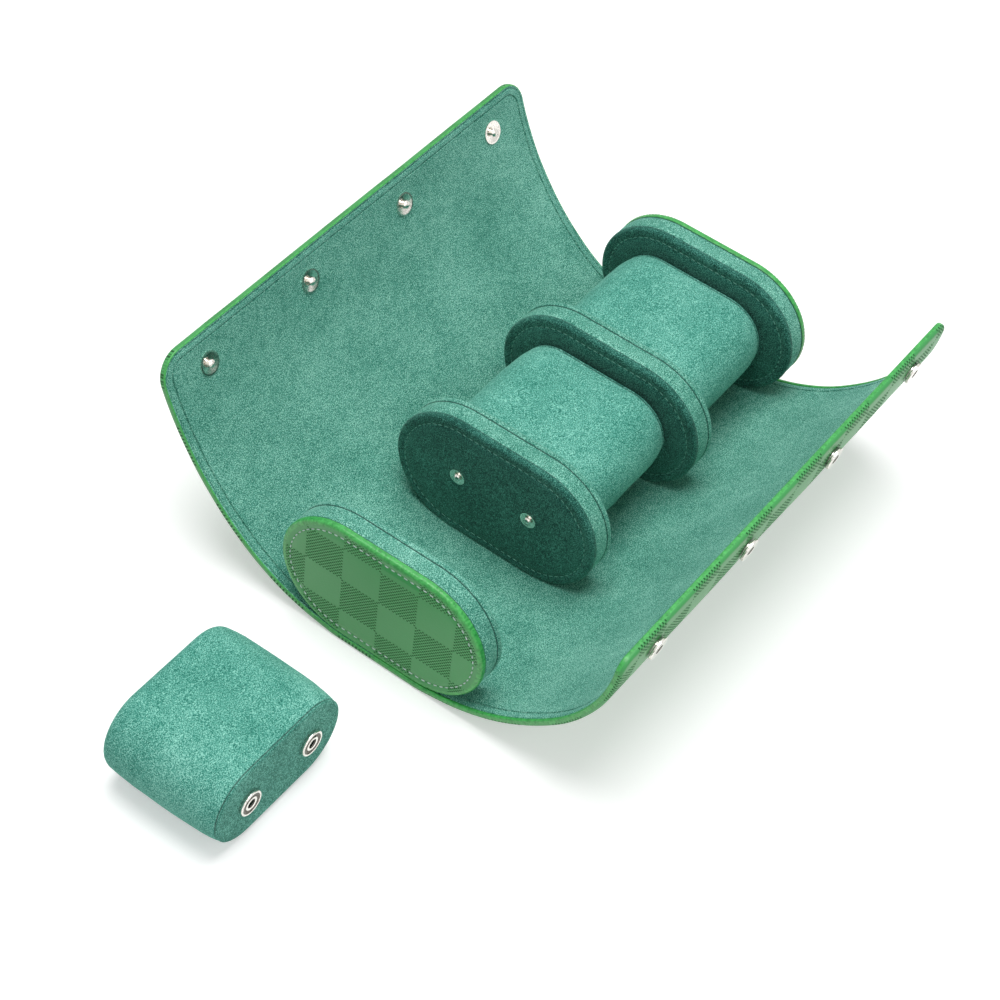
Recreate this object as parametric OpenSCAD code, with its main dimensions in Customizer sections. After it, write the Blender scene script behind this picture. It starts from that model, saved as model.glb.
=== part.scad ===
// Travel case: a soft wrap that rolls closed round four oval dividers, with a
// cushion on snaps in each of its three bays.
// X runs along the roll, +Y towards the high flap, +Z up from the table.
// The origin is at the middle of the flat underside. Millimetres and degrees.

/* [Dividers] */
// Width of a divider
divider_w = 100; // [90:1:120]
// Height of a divider
divider_h = 62; // [56:1:72]
// Thickness of a divider's front or back panel
panel_t = 3; // [2:0.5:4]
// Thickness of the foam core between the panels
core_t = 8; // [5:0.5:12]
// How far the band round the core lies below the panels' edge
band_drop = 0.6; // [0.3:0.1:1.5]
// Thickness of the band round the core
band_t = 0.9; // [0.6:0.1:1.5]
// Clear length of a bay between two dividers
bay_len = 61; // [58:0.5:80]
// Number of bays
bays = 3; // [3:1:3]

/* [Wrap] */
// How far the wrap runs past the end dividers
wrap_overhang = 0.5; // [0:0.5:4]
// Thickness of the outer leather with its bonded backing
leather_t = 1.8; // [1.2:0.1:2.5]
// Thickness of the lining
lining_t = 1.2; // [0.8:0.1:1.8]
// Width of the leather edge turned over the lining
lip_w = 1.6; // [1:0.1:2.5]
// Thickness of the stiff board in the base
board_t = 0.8; // [0.5:0.1:1.2]
// Width of the stiff board in the base
board_w = 34; // [24:1:38]
// Angle to which the base follows the round of the dividers
base_turn = 10; // [4:1:14]
// Straight run of the base before the first hinge line of a flap
base_run = 7; // [4:0.5:9]

/* [High flap] */
// Length of each of the first strips of a flap, foot to top
strip_len = 20; // [17:0.5:22]
// Turn of the high flap's strips as it lies open
left_turns = [15, 13, 10, 8, 8]; // [0:1:30]
// Length of the high flap's tip
left_tip_len = 28; // [26:1:40]
// Turn of the high flap's tip
left_tip_turn = 11; // [0:1:30]
// Radius of the high flap's corners
left_corner_r = 12; // [4:0.5:15]

/* [Low flap] */
// Turn of the low flap's strips as it lies open
right_turns = [14, 12, 10, 13]; // [0:1:30]
// Length of the low flap's tip
right_tip_len = 41; // [32:1:50]
// Turn of the low flap's tip
right_tip_turn = 30; // [15:1:50]
// Radius of the low flap's corners
right_corner_r = 5; // [3:0.5:15]

/* [Flap snaps] */
// Spacing of the snaps along the flaps
snap_pitch = 63.5; // [50:0.5:70]
// Number of snaps
snap_count = 4; // [2:1:4]
// Distance of a stud's centre from the high flap's edge
stud_edge = 15.5; // [13:0.5:22]
// Distance of a socket's centre from the low flap's edge
socket_edge = 11.5; // [10:0.5:20]
// Outer diameter of the flap snaps
snap_d = 10.5; // [9:0.5:13]
// Height of a stud's rim over the lining
stud_rim_h = 0.75; // [0.5:0.05:0.9]
// Height of a stud's head over the lining
stud_head_h = 2.7; // [2.2:0.1:3.2]
// Height of a socket over the leather
flap_socket_h = 2.1; // [1.8:0.1:2.4]

/* [Cushions] */
// Width of a cushion
cushion_w = 77; // [66:0.5:82]
// Height of a cushion
cushion_h = 42; // [34:0.5:46]
// Length of a cushion
cushion_len = 57.5; // [50:0.5:57.5]
// How much a cushion's ends are drawn in all round
cushion_draw = 2.2; // [1:0.1:3.5]
// Thickness of the suede cover
cover_t = 1; // [0.8:0.1:1.5]
// Thickness of the board behind a cushion's sockets
end_board_t = 2; // [1.5:0.5:3]
// Margin of that board inside the cover
end_board_inset = 2; // [1.5:0.5:5]
// Spacing of the two snaps of a cushion
cushion_snap_pitch = 36; // [28:0.5:38]
// How far the cushion snaps lie above the middle of the dividers
snap_rise = 2; // [0:0.5:3]
// Diameter of a cushion's sockets
cushion_socket_d = 11.5; // [9:0.5:13]
// Height of a cushion's sockets over the cover
cushion_socket_h = 1.8; // [1.4:0.1:2]
// Diameter of the studs on the dividers
divider_stud_d = 7.5; // [6:0.5:9]
// Height of their base over the panel
divider_stud_base_h = 0.9; // [0.6:0.1:1]
// Height of their head over the panel
divider_stud_head_h = 2.3; // [2.1:0.1:2.4]

/* [Snap fits] */
// Diameter of every stud's head
head_d = 3.6; // [3:0.1:4]
// Thickness of every stud's head
head_t = 1.2; // [0.9:0.05:1.2]
// Diameter of every stud's neck
neck_d = 2.6; // [2:0.1:2.8]
// Diametral clearance of a head in its socket
snap_clear = 0.6; // [0.4:0.1:0.8]
// Gap between a stud and its socket when they are closed
snap_gap = 0.1; // [0.05:0.05:0.3]
// Diameter of the rivet shanks
shank_d = 2.4; // [2:0.1:2.5]
// Clearance of a shank in its hole
shank_clear = 0.1; // [0.05:0.05:0.2]
// Wire diameter of the spring in a socket
spring_wire = 0.5; // [0.4:0.05:0.6]
// Diameter of the hidden rivet caps
cap_d = 8; // [6:0.5:9]
// Thickness of the hidden rivet caps
cap_t = 0.5; // [0.4:0.1:0.6]

/* [Loose cushion] */
// Distance of the lifted-out cushion's middle from the front divider, along X
loose_out = 78; // [60:1:120]
// Place of its socket end across the case
loose_y = -14; // [-30:1:10]
// Turn of the loose cushion about the upright axis
loose_turn = -90; // [-100:1:-80]

/* [Clearances] */
// Gap between two strips at a hinge line
hinge_gap = 0.2; // [0.1:0.05:0.4]
// Gap round the lining inside the turned edge
lining_clear = 0.1; // [0.05:0.05:0.3]
// Gap between the round of the dividers and the base
seat_clear = 0.2; // [0.1:0.05:0.4]
// Gap between layers that lie inside one another
layer_clear = 0.05; // [0.02:0.01:0.1]

/* [Hidden] */
$fn = 64;
wrap_t = leather_t + lining_t;
divider_t = 2 * panel_t + core_t;
pitch = bay_len + divider_t;
body_len = bays * pitch + divider_t;
wrap_len = body_len + 2 * wrap_overhang;
divider_z = wrap_t + divider_h / 2;
seat_z = divider_z + snap_rise;
flat_half = (divider_w - divider_h) / 2;
seat_r = divider_h / 2 + seat_clear;
socket_bore = head_d + snap_clear;
groove_w = spring_wire + snap_clear / 4;
stand_off = divider_stud_base_h + cushion_socket_h + snap_gap;
overrun = 1;
arc_step = 2 * wrap_t / 3;
dome_r = 0.6 * head_d;
waist_share = 0.62;
waist_h_share = 0.35;
socket_wall = 1;

// Each run is [length on the lining side, turn].
base_runs = [[flat_half, 0], [seat_r * base_turn * PI / 180, base_turn], [base_run, 0]];
left_runs = concat(
    base_runs,
    [for (t = left_turns) [strip_len, t]],
    [[left_tip_len, left_tip_turn]]
);
right_runs = concat(
    base_runs,
    [for (t = right_turns) [strip_len, t]],
    [[right_tip_len, right_tip_turn]]
);
first_strip = len(base_runs);

left_x = [for (i = [0:snap_count - 1]) (i - (snap_count - 1) / 2) * snap_pitch];
snap_y = [-cushion_snap_pitch / 2, cushion_snap_pitch / 2];

// ---- the wrap's section: a chain of runs on the lining side ----

// [y, z, heading] a distance s along a run that starts at p.
function along(p, run, s) =
    run[1] == 0
    ? [p[0] + s * cos(p[2]), p[1] + s * sin(p[2]), p[2]]
    : let (r = run_radius(run), h = p[2] + run[1] * s / run[0])
      [p[0] + r * (sin(h) - sin(p[2])), p[1] - r * (cos(h) - cos(p[2])), h];

function run_radius(run) = run[0] * 180 / (PI * run[1]);

// [y, z, heading] at the start of run n.
function start_of(runs, n) =
    n == 0 ? [0, wrap_t, 0] : along(start_of(runs, n - 1), runs[n - 1], runs[n - 1][0]);

// Places children at distance s along run n, with Y along the wrap and Z into the case.
module on_wrap(runs, n, s, x = 0) {
    p = along(start_of(runs, n), runs[n], s);
    translate([x, p[0], p[1]])
        rotate([p[2], 0, 0])
            children();
}

// The point a depth below the lining's face at [y, z, heading].
function below(p, depth) = [p[0] + depth * sin(p[2]), p[1] - depth * cos(p[2])];

// Distances along a run at which its section is drawn, the start left out.
function stations(run, from, to) =
    [for (s = [0:arc_step:to - arc_step / 4]) if (run[1] > 0 && s > from) s, to];

// The section's line at one depth, from run first to run last.
function chain_line(runs, first, last, depth, trim_0, trim_1) =
    [for (n = [first:last])
        let (
            from = n == first ? trim_0 : 0,
            to = runs[n][0] - (n == last ? trim_1 : 0),
            start = n == first ? [from] : []
        )
        for (s = concat(start, stations(runs[n], from, to)))
            below(along(start_of(runs, n), runs[n], s), depth)];

function reversed(line) = [for (i = [len(line) - 1:-1:0]) line[i]];

// A plate across the case between two lines of the section.
module section_plate(line_0, line_1, width) {
    rotate([90, 0, 90])
        translate([0, 0, -width / 2])
            linear_extrude(width)
                polygon(concat(line_0, reversed(line_1)));
}

// Some runs as one plate between two depths below the lining's face.
module chain_plate(runs, first, last, depth_0, depth_1, width, trim_0, trim_1) {
    section_plate(
        chain_line(runs, first, last, depth_0, trim_0, trim_1),
        chain_line(runs, first, last, depth_1, trim_0, trim_1),
        width
    );
}

// What is cut away outside a rounded corner at the free edge of a flap.
module corner_cut(runs, inset, x_side) {
    r = (runs == left_runs ? left_corner_r : right_corner_r) - inset;
    n = len(runs) - 1;
    edge_x = wrap_len / 2 - inset;
    on_wrap(runs, n, runs[n][0] - inset)
        mirror([x_side < 0 ? 1 : 0, 0, 0])
            translate([edge_x - r, -r, -3 * wrap_t])
                difference() {
                    cube([r + overrun, r + overrun, 5 * wrap_t]);
                    translate([0, 0, -overrun])
                        cylinder(r = r, h = 5 * wrap_t + 2 * overrun);
                }
}

// One strip of a flap, held back from its edges by an inset.
module strip(runs, first, last, depth_0, depth_1, inset = 0) {
    free_end = last == len(runs) - 1;
    difference() {
        chain_plate(
            runs, first, last, depth_0, depth_1, wrap_len - 2 * inset,
            hinge_gap / 2, free_end ? inset : hinge_gap / 2
        );
        if (free_end)
            for (side = [-1, 1])
                corner_cut(runs, inset, side);
    }
}

module strip_leather(runs, first, last) {
    difference() {
        strip(runs, first, last, 0, wrap_t);
        pocket(runs, first, last);
    }
}

// The room for the lining, open at the hinge lines.
module pocket(runs, first, last) {
    free_end = last == len(runs) - 1;
    difference() {
        chain_plate(
            runs, first, last, -overrun, lining_t, wrap_len - 2 * lip_w,
            0, free_end ? lip_w : 0
        );
        if (free_end)
            for (side = [-1, 1])
                corner_cut(runs, lip_w, side);
    }
}

module strip_lining(runs, first, last) {
    strip(runs, first, last, 0, lining_t - layer_clear, lip_w + lining_clear);
}

function strip_first(k) = first_strip + k - 1;
function strip_count(runs) = len(runs) - first_strip - 1;
function strip_last(runs, k) = k == strip_count(runs) ? len(runs) - 1 : strip_first(k);

module left_leather(k) {
    color("#59b94a")
        difference() {
            strip_leather(left_runs, strip_first(k), strip_last(left_runs, k));
            if (k == len(left_turns))
                stud_places() {
                    stud_hole();
                    stud_cap_recess();
                }
        }
}

module left_lining(k) {
    color("#2f9a84")
        difference() {
            strip_lining(left_runs, strip_first(k), strip_last(left_runs, k));
            if (k == len(left_turns))
                stud_places() {
                    stud_hole();
                    stud_seat();
                }
        }
}

module right_leather(k) {
    color("#59b94a")
        difference() {
            mirror([0, 1, 0])
                strip_leather(right_runs, strip_first(k), strip_last(right_runs, k));
            if (k == len(right_turns))
                socket_places()
                    socket_hole();
        }
}

module right_lining(k) {
    color("#2f9a84")
        mirror([0, 1, 0])
            strip_lining(right_runs, strip_first(k), strip_last(right_runs, k));
}

// ---- the base under the dividers ----

// The section's line through both halves of the base.
function base_line(depth, trim) =
    let (half = chain_line(left_runs, 1, first_strip - 1, depth, 0, trim))
    concat([for (p = reversed(half)) [-p[0], p[1]]], half);

module base_plate(depth_0, depth_1, inset, trim) {
    section_plate(base_line(depth_0, trim), base_line(depth_1, trim), wrap_len - 2 * inset);
}

module base_leather() {
    color("#59b94a")
        difference() {
            base_plate(0, wrap_t, 0, hinge_gap / 2);
            base_plate(-overrun, lining_t, lip_w, 0);
            board_space(layer_clear);
        }
}

module board_space(clear) {
    translate([-wrap_len / 2 + 2 * lip_w - clear, -board_w / 2 - clear, leather_t - board_t - clear])
        cube([wrap_len - 4 * lip_w + 2 * clear, board_w + 2 * clear, board_t + 2 * clear]);
}

module base_board() {
    color("#8f8a80")
        board_space(0);
}

module base_lining() {
    color("#2f9a84")
        difference() {
            base_plate(0, lining_t - layer_clear, lip_w + lining_clear, hinge_gap / 2);
            board_space(layer_clear);
        }
}

// ---- dividers ----

function divider_x(i) = -body_len / 2 + (i - 1) * pitch;

module oval(w, h) {
    square([w - h, h], center = true);
    for (side = [-1, 1])
        translate([side * (w - h) / 2, 0])
            circle(d = h);
}

// An oval plate from x, standing on its edge across the case.
module oval_plate(x, t, w, h) {
    translate([x, 0, divider_z])
        rotate([90, 0, 90])
            linear_extrude(t)
                oval(w, h);
}

module divider_front_panel(i) {
    color(i == 1 ? "#59b94a" : "#2f9a84")
        difference() {
            oval_plate(divider_x(i), panel_t, divider_w, divider_h);
            if (i > 1)
                divider_stud_places(i)
                    cylinder(d = shank_d + shank_clear, h = 2 * (panel_t + overrun), center = true);
        }
}

module divider_back_panel(i) {
    color(i == bays + 1 ? "#59b94a" : "#2f9a84")
        oval_plate(divider_x(i) + panel_t + core_t, panel_t, divider_w, divider_h);
}

module divider_band(i) {
    drop = 2 * band_drop;
    color("#2a8a76")
        difference() {
            oval_plate(divider_x(i) + panel_t, core_t, divider_w - drop, divider_h - drop);
            oval_plate(
                divider_x(i) + panel_t - overrun, core_t + 2 * overrun,
                divider_w - drop - 2 * band_t, divider_h - drop - 2 * band_t
            );
        }
}

module divider_core(i) {
    drop = 2 * (band_drop + band_t + layer_clear);
    color("#c9c4b4")
        oval_plate(divider_x(i) + panel_t, core_t, divider_w - drop, divider_h - drop);
}

function shank_depth() = panel_t - 2 * layer_clear;

module divider_stud_places(i) {
    for (y = snap_y)
        translate([divider_x(i), y, seat_z])
            rotate([0, -90, 0])
                children();
}

// A stud on its base: dish, neck and domed head, standing on z = 0.
module stud(base_d, base_h, dish, top, shank) {
    difference() {
        cylinder(d = base_d, h = base_h);
        translate([0, 0, base_h - dish])
            cylinder(d1 = head_d + dish, d2 = base_d - 2 * dish, h = dish + layer_clear);
    }
    cylinder(d = neck_d, h = top - head_t / 2);
    rotate_extrude()
        intersection() {
            translate([0, top - head_t])
                square([head_d / 2, head_t]);
            translate([0, top - dome_r])
                circle(r = dome_r);
        }
    translate([0, 0, -shank])
        cylinder(d = shank_d, h = shank + base_h / 4);
}

module divider_studs() {
    color("#b9b6ad")
        for (i = [2:bays + 1])
            divider_stud_places(i)
                stud(divider_stud_d, divider_stud_base_h, divider_stud_base_h / 3,
                     divider_stud_head_h, shank_depth());
}

// ---- flap snaps ----

module stud_places() {
    n = len(left_runs) - 1;
    for (x = left_x)
        on_wrap(left_runs, n, left_tip_len - stud_edge, x)
            children();
}

module socket_places() {
    n = len(right_runs) - 1;
    mirror([0, 1, 0])
        for (x = left_x)
            on_wrap(right_runs, n, right_tip_len - socket_edge, x)
                translate([0, 0, -wrap_t])
                    rotate([180, 0, 0])
                        children();
}

// Shank hole under a stud, from the lining's face at z = 0.
module stud_hole() {
    translate([0, 0, -lining_t - cap_t])
        cylinder(d = shank_d + shank_clear, h = wrap_t);
}

// Recess in the leather for a stud's cap, open towards the lining.
module stud_cap_recess() {
    translate([0, 0, -lining_t - cap_t - 2 * layer_clear])
        cylinder(d = cap_d + shank_clear, h = cap_t + overrun);
}

// The lining pressed flat under a stud's rim.
module stud_seat() {
    cylinder(d = snap_d + 2 * lining_clear, h = stud_head_h);
}

// Shank hole and cap recess under a socket, from the leather's face at z = 0.
module socket_hole() {
    translate([0, 0, -leather_t])
        cylinder(d = shank_d + shank_clear, h = wrap_t);
    translate([0, 0, -leather_t - overrun])
        cylinder(d = cap_d + shank_clear, h = overrun + cap_t + layer_clear);
}

module rivet_cap(z) {
    translate([0, 0, z])
        difference() {
            cylinder(d = cap_d, h = cap_t);
            translate([0, 0, -overrun])
                cylinder(d = shank_d + shank_clear, h = cap_t + 2 * overrun);
        }
}

module flap_studs() {
    color("#b9b6ad")
        stud_places()
            stud(snap_d, stud_rim_h, stud_rim_h / 2, stud_head_h, lining_t + cap_t / 2);
}

module flap_stud_caps() {
    color("#a5a299")
        stud_places()
            rivet_cap(-lining_t - cap_t - layer_clear);
}

// A socket body: waist, rolled disc, bore and spring groove, on z = 0.
module socket_body(d, h, waist_d, waist_h) {
    edge = (h - waist_h) / 4;
    rotate_extrude()
        difference() {
            union() {
                square([waist_d / 2, h / 2]);
                translate([0, waist_h])
                    square([d / 2 - edge, h - waist_h]);
                translate([0, waist_h + edge])
                    square([d / 2, h - waist_h - 2 * edge]);
                for (z = [waist_h + edge, h - edge])
                    translate([d / 2 - edge, z])
                        circle(r = edge);
            }
            translate([-d, -h])
                square([d, 3 * h]);
            translate([0, h - socket_depth(h)])
                square([socket_bore / 2, h]);
            translate([0, h - socket_depth(h) / 2 - groove_w / 2])
                square([socket_bore / 2 + groove_w, groove_w]);
        }
}

function socket_depth(h) = h - layer_clear * 4;

module socket_spring(h) {
    translate([0, 0, h - socket_depth(h) / 2])
        rotate_extrude()
            translate([socket_bore / 2 + spring_wire / 2 + layer_clear, 0])
                circle(d = spring_wire, $fn = 24);
}

module flap_sockets() {
    color("#b9b6ad")
        socket_places() {
            socket_body(snap_d, flap_socket_h, waist_share * snap_d, waist_h_share * flap_socket_h);
            translate([0, 0, -leather_t + cap_t / 2])
                cylinder(d = shank_d, h = leather_t);
        }
}

module flap_socket_springs() {
    color("#8c8a84")
        socket_places()
            socket_spring(flap_socket_h);
}

module flap_socket_caps() {
    color("#a5a299")
        socket_places()
            rivet_cap(-leather_t);
}

// ---- cushions: built lying along X, with the socket end at x = 0 ----

ring_points = 36;
ring_at = [0, 0.012, 0.05, 0.12, 0.25, 0.5, 0.75, 0.88, 0.95, 0.988, 1];

// How much of the drawn-in depth is left at a share u of the length.
function drawn(u) = pow(abs(2 * u - 1), 5);

// A point of an oval: two straight sides and two round ends, q from 0 to 1.
function oval_point(w, h, q) =
    let (a = 360 * q, s = (w - h) / 2)
    [(cos(a) >= 0 ? s : -s) * min(1, abs(cos(a)) * 3) + h / 2 * cos(a), h / 2 * sin(a)];

// One closed ring of the cushion, inset all round.
function cushion_ring(u, inset) =
    let (
        d = 2 * (cushion_draw * drawn(u) + inset),
        x = -inset - u * (cushion_len - 2 * inset)
    )
    [for (i = [0:ring_points - 1])
        let (p = oval_point(cushion_w - d, cushion_h - d, i / ring_points))
        [x, p[0], p[1]]];

module cushion_form(inset) {
    rings = [for (u = ring_at) each cushion_ring(u, inset)];
    last = (len(ring_at) - 1) * ring_points;
    sides = [for (j = [0:len(ring_at) - 2], i = [0:ring_points - 1])
        let (a = j * ring_points + i, b = j * ring_points + (i + 1) % ring_points)
        [a, b, b + ring_points, a + ring_points]];
    ends = [
        [for (i = [ring_points - 1:-1:0]) i],
        [for (i = [0:ring_points - 1]) last + i]
    ];
    polyhedron(rings, concat(sides, ends), convexity = 4);
}

module cushion_snap_places() {
    for (y = snap_y)
        translate([0, y, 0])
            rotate([0, 90, 0])
                children();
}

module cushion_socket_hole(depth) {
    translate([0, 0, -depth])
        cylinder(d = cushion_shank_d() + shank_clear, h = depth + overrun);
}

function cushion_shank_d() = socket_bore + 2 * socket_wall;

module cushion_cover() {
    color("#2f9a84")
        difference() {
            cushion_form(0);
            cushion_form(cover_t);
            cushion_snap_places()
                cushion_socket_hole(2 * cover_t);
        }
}

module cushion_core() {
    color("#d8d3c2")
        difference() {
            cushion_form(cover_t + layer_clear);
            translate([-cover_t - end_board_t - 2 * layer_clear, -cushion_w, -cushion_h])
                cube([cover_t + end_board_t + overrun, 2 * cushion_w, 2 * cushion_h]);
        }
}

module cushion_board() {
    shrink = 2 * (cushion_draw + cover_t + end_board_inset);
    color("#8f8a80")
        difference() {
            translate([-cover_t - layer_clear - end_board_t, 0, 0])
                rotate([90, 0, 90])
                    linear_extrude(end_board_t)
                        oval(cushion_w - shrink, cushion_h - shrink);
            cushion_snap_places()
                cushion_socket_hole(cover_t + 2 * end_board_t);
        }
}

module cushion_sockets() {
    color("#b9b6ad")
        cushion_snap_places() {
            difference() {
                union() {
                    socket_body(cushion_socket_d, cushion_socket_h,
                                cushion_socket_d - socket_wall, waist_h_share * cushion_socket_h / 2);
                    translate([0, 0, -cover_t - end_board_t])
                        cylinder(d = cushion_shank_d(), h = cover_t + end_board_t + cushion_socket_h / 4);
                }
                translate([0, 0, -cover_t])
                    cylinder(d = socket_bore, h = cover_t + cushion_socket_h + overrun);
            }
        }
}

module cushion_springs() {
    color("#8c8a84")
        cushion_snap_places()
            socket_spring(cushion_socket_h);
}

// The seat of the cushion in bay i: held by the divider behind it.
module seated(i) {
    translate([divider_x(i + 1) - stand_off, 0, seat_z])
        children();
}

// The lifted-out cushion lies on the table beside the front divider.
module lying() {
    translate([-body_len / 2 - loose_out, loose_y, cushion_h / 2])
        rotate([0, 0, loose_turn])
            children();
}

base_leather();
base_board();
base_lining();
left_leather(1);  // left_leather_1
left_leather(2);  // left_leather_2
left_leather(3);  // left_leather_3
left_leather(4);  // left_leather_4
left_leather(5);  // left_leather_5
left_lining(1);  // left_lining_1
left_lining(2);  // left_lining_2
left_lining(3);  // left_lining_3
left_lining(4);  // left_lining_4
left_lining(5);  // left_lining_5
right_leather(1);  // right_leather_1
right_leather(2);  // right_leather_2
right_leather(3);  // right_leather_3
right_leather(4);  // right_leather_4
right_lining(1);  // right_lining_1
right_lining(2);  // right_lining_2
right_lining(3);  // right_lining_3
right_lining(4);  // right_lining_4
divider_front_panel(1);  // divider_1_front_panel
divider_core(1);  // divider_1_core
divider_band(1);  // divider_1_band
divider_back_panel(1);  // divider_1_back_panel
divider_front_panel(2);  // divider_2_front_panel
divider_core(2);  // divider_2_core
divider_band(2);  // divider_2_band
divider_back_panel(2);  // divider_2_back_panel
divider_front_panel(3);  // divider_3_front_panel
divider_core(3);  // divider_3_core
divider_band(3);  // divider_3_band
divider_back_panel(3);  // divider_3_back_panel
divider_front_panel(4);  // divider_4_front_panel
divider_core(4);  // divider_4_core
divider_band(4);  // divider_4_band
divider_back_panel(4);  // divider_4_back_panel
divider_studs();
flap_studs();
flap_stud_caps();
flap_sockets();
flap_socket_springs();
flap_socket_caps();
lying() cushion_cover();  // front_cushion_cover
lying() cushion_core();  // front_cushion_core
lying() cushion_board();  // front_cushion_board
lying() cushion_sockets();  // front_cushion_sockets
lying() cushion_springs();  // front_cushion_springs
seated(2) cushion_cover();  // middle_cushion_cover
seated(2) cushion_core();  // middle_cushion_core
seated(2) cushion_board();  // middle_cushion_board
seated(2) cushion_sockets();  // middle_cushion_sockets
seated(2) cushion_springs();  // middle_cushion_springs
seated(3) cushion_cover();  // rear_cushion_cover
seated(3) cushion_core();  // rear_cushion_core
seated(3) cushion_board();  // rear_cushion_board
seated(3) cushion_sockets();  // rear_cushion_sockets
seated(3) cushion_springs();  // rear_cushion_springs
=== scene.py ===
import math

import bmesh
import bpy
from mathutils import Matrix, Vector, kdtree, noise


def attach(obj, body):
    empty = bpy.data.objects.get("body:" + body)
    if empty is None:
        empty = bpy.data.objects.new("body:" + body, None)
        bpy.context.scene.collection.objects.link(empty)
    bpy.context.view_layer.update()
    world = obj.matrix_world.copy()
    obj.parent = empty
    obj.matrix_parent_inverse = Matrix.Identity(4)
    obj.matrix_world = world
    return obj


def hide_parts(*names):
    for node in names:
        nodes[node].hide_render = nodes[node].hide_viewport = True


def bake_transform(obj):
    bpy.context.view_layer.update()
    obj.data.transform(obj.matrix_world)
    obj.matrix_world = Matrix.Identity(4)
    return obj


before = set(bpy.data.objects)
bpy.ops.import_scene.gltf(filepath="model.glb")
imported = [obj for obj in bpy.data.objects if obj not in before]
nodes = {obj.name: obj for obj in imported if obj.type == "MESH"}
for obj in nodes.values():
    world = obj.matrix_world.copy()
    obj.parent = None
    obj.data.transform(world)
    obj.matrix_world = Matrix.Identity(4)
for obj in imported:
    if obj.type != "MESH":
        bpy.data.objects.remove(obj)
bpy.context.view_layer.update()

scene = bpy.context.scene
mm = 0.001


# The camera stands in front of the case and looks down at it, in metres and degrees.
camera = {"azimuth": -59.632, "elevation": 48.176, "roll": 8.071, "distance": 1.102925,
          "target": (-0.015981, 0.013406, 0.0), "lens": 92.866, "sensor": 36.0,
          "clip": (0.05, 20.0)}


def placeCamera():
    data = bpy.data.cameras.new("caseCamera")
    data.lens = camera["lens"]
    data.sensor_width = camera["sensor"]
    data.clip_start, data.clip_end = camera["clip"]
    a, e = math.radians(camera["azimuth"]), math.radians(camera["elevation"])
    roll = math.radians(camera["roll"])
    back = Vector((math.sin(a) * math.cos(e), -math.cos(a) * math.cos(e), math.sin(e)))
    level = Vector((math.cos(a), math.sin(a), 0))
    rise = back.cross(level)
    right = math.cos(roll) * level + math.sin(roll) * rise
    up = math.cos(roll) * rise - math.sin(roll) * level
    turn = Matrix((right, up, back)).transposed().to_4x4()
    eye = Vector(camera["target"]) + back * camera["distance"]
    view = bpy.data.objects.new("caseCamera", data)
    scene.collection.objects.link(view)
    view.matrix_world = Matrix.Translation(eye) @ turn
    scene.camera = view


placeCamera()
scene.view_settings.view_transform = "Standard"
print("camera placed")


# Colours are written as sRGB hex and turned to linear here.
def linear(hexColour):
    tone = []
    for i in (1, 3, 5):
        c = int(hexColour[i:i + 2], 16) / 255
        tone.append(c / 12.92 if c <= 0.04045 else ((c + 0.055) / 1.055) ** 2.4)
    return (*tone, 1.0)


def addNode(tree, kind, settings=None, inputs=None):
    node = tree.nodes.new("ShaderNode" + kind)
    for name, value in (settings or {}).items():
        setattr(node, name, value)
    for name, value in (inputs or {}).items():
        if isinstance(value, bpy.types.NodeSocket):
            tree.links.new(value, node.inputs[name])
        else:
            node.inputs[name].default_value = value
    return node


def newMaterial(name):
    material = bpy.data.materials.new(name)
    material.use_nodes = True
    material.node_tree.nodes.clear()
    return material, material.node_tree


def finishMaterial(tree, shader):
    addNode(tree, "OutputMaterial", None, {"Surface": shader.outputs[0]})


def blendTones(tree, share, stops):
    ramp = addNode(tree, "ValToRGB", None, {0: share})
    ramp.color_ramp.elements[0].position = stops[0][0]
    ramp.color_ramp.elements[0].color = linear(stops[0][1])
    ramp.color_ramp.elements[1].position = stops[-1][0]
    ramp.color_ramp.elements[1].color = linear(stops[-1][1])
    for at, tone in stops[1:-1]:
        ramp.color_ramp.elements.new(at).color = linear(tone)
    return ramp.outputs[0]


# Microfibre suede: a short raised nap. It gives soft clouds where the nap lies another way,
# brushed patches, and a fine sparkle of single fibres. Sizes in mm.
suedeLook = {"cloud": 30, "brushed": 4, "fibre": 0.46, "cloudShare": 0.4, "brushedShare": 0.35,
             "fibreShare": 2.3, "stops": (0.1, 0.5, 0.9), "roughness": 0.92, "specular": 0.2,
             "sheen": 0.35, "sheenRoughness": 0.45, "sheenTint": "#9fd9c6", "bump": 0.35}


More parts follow.
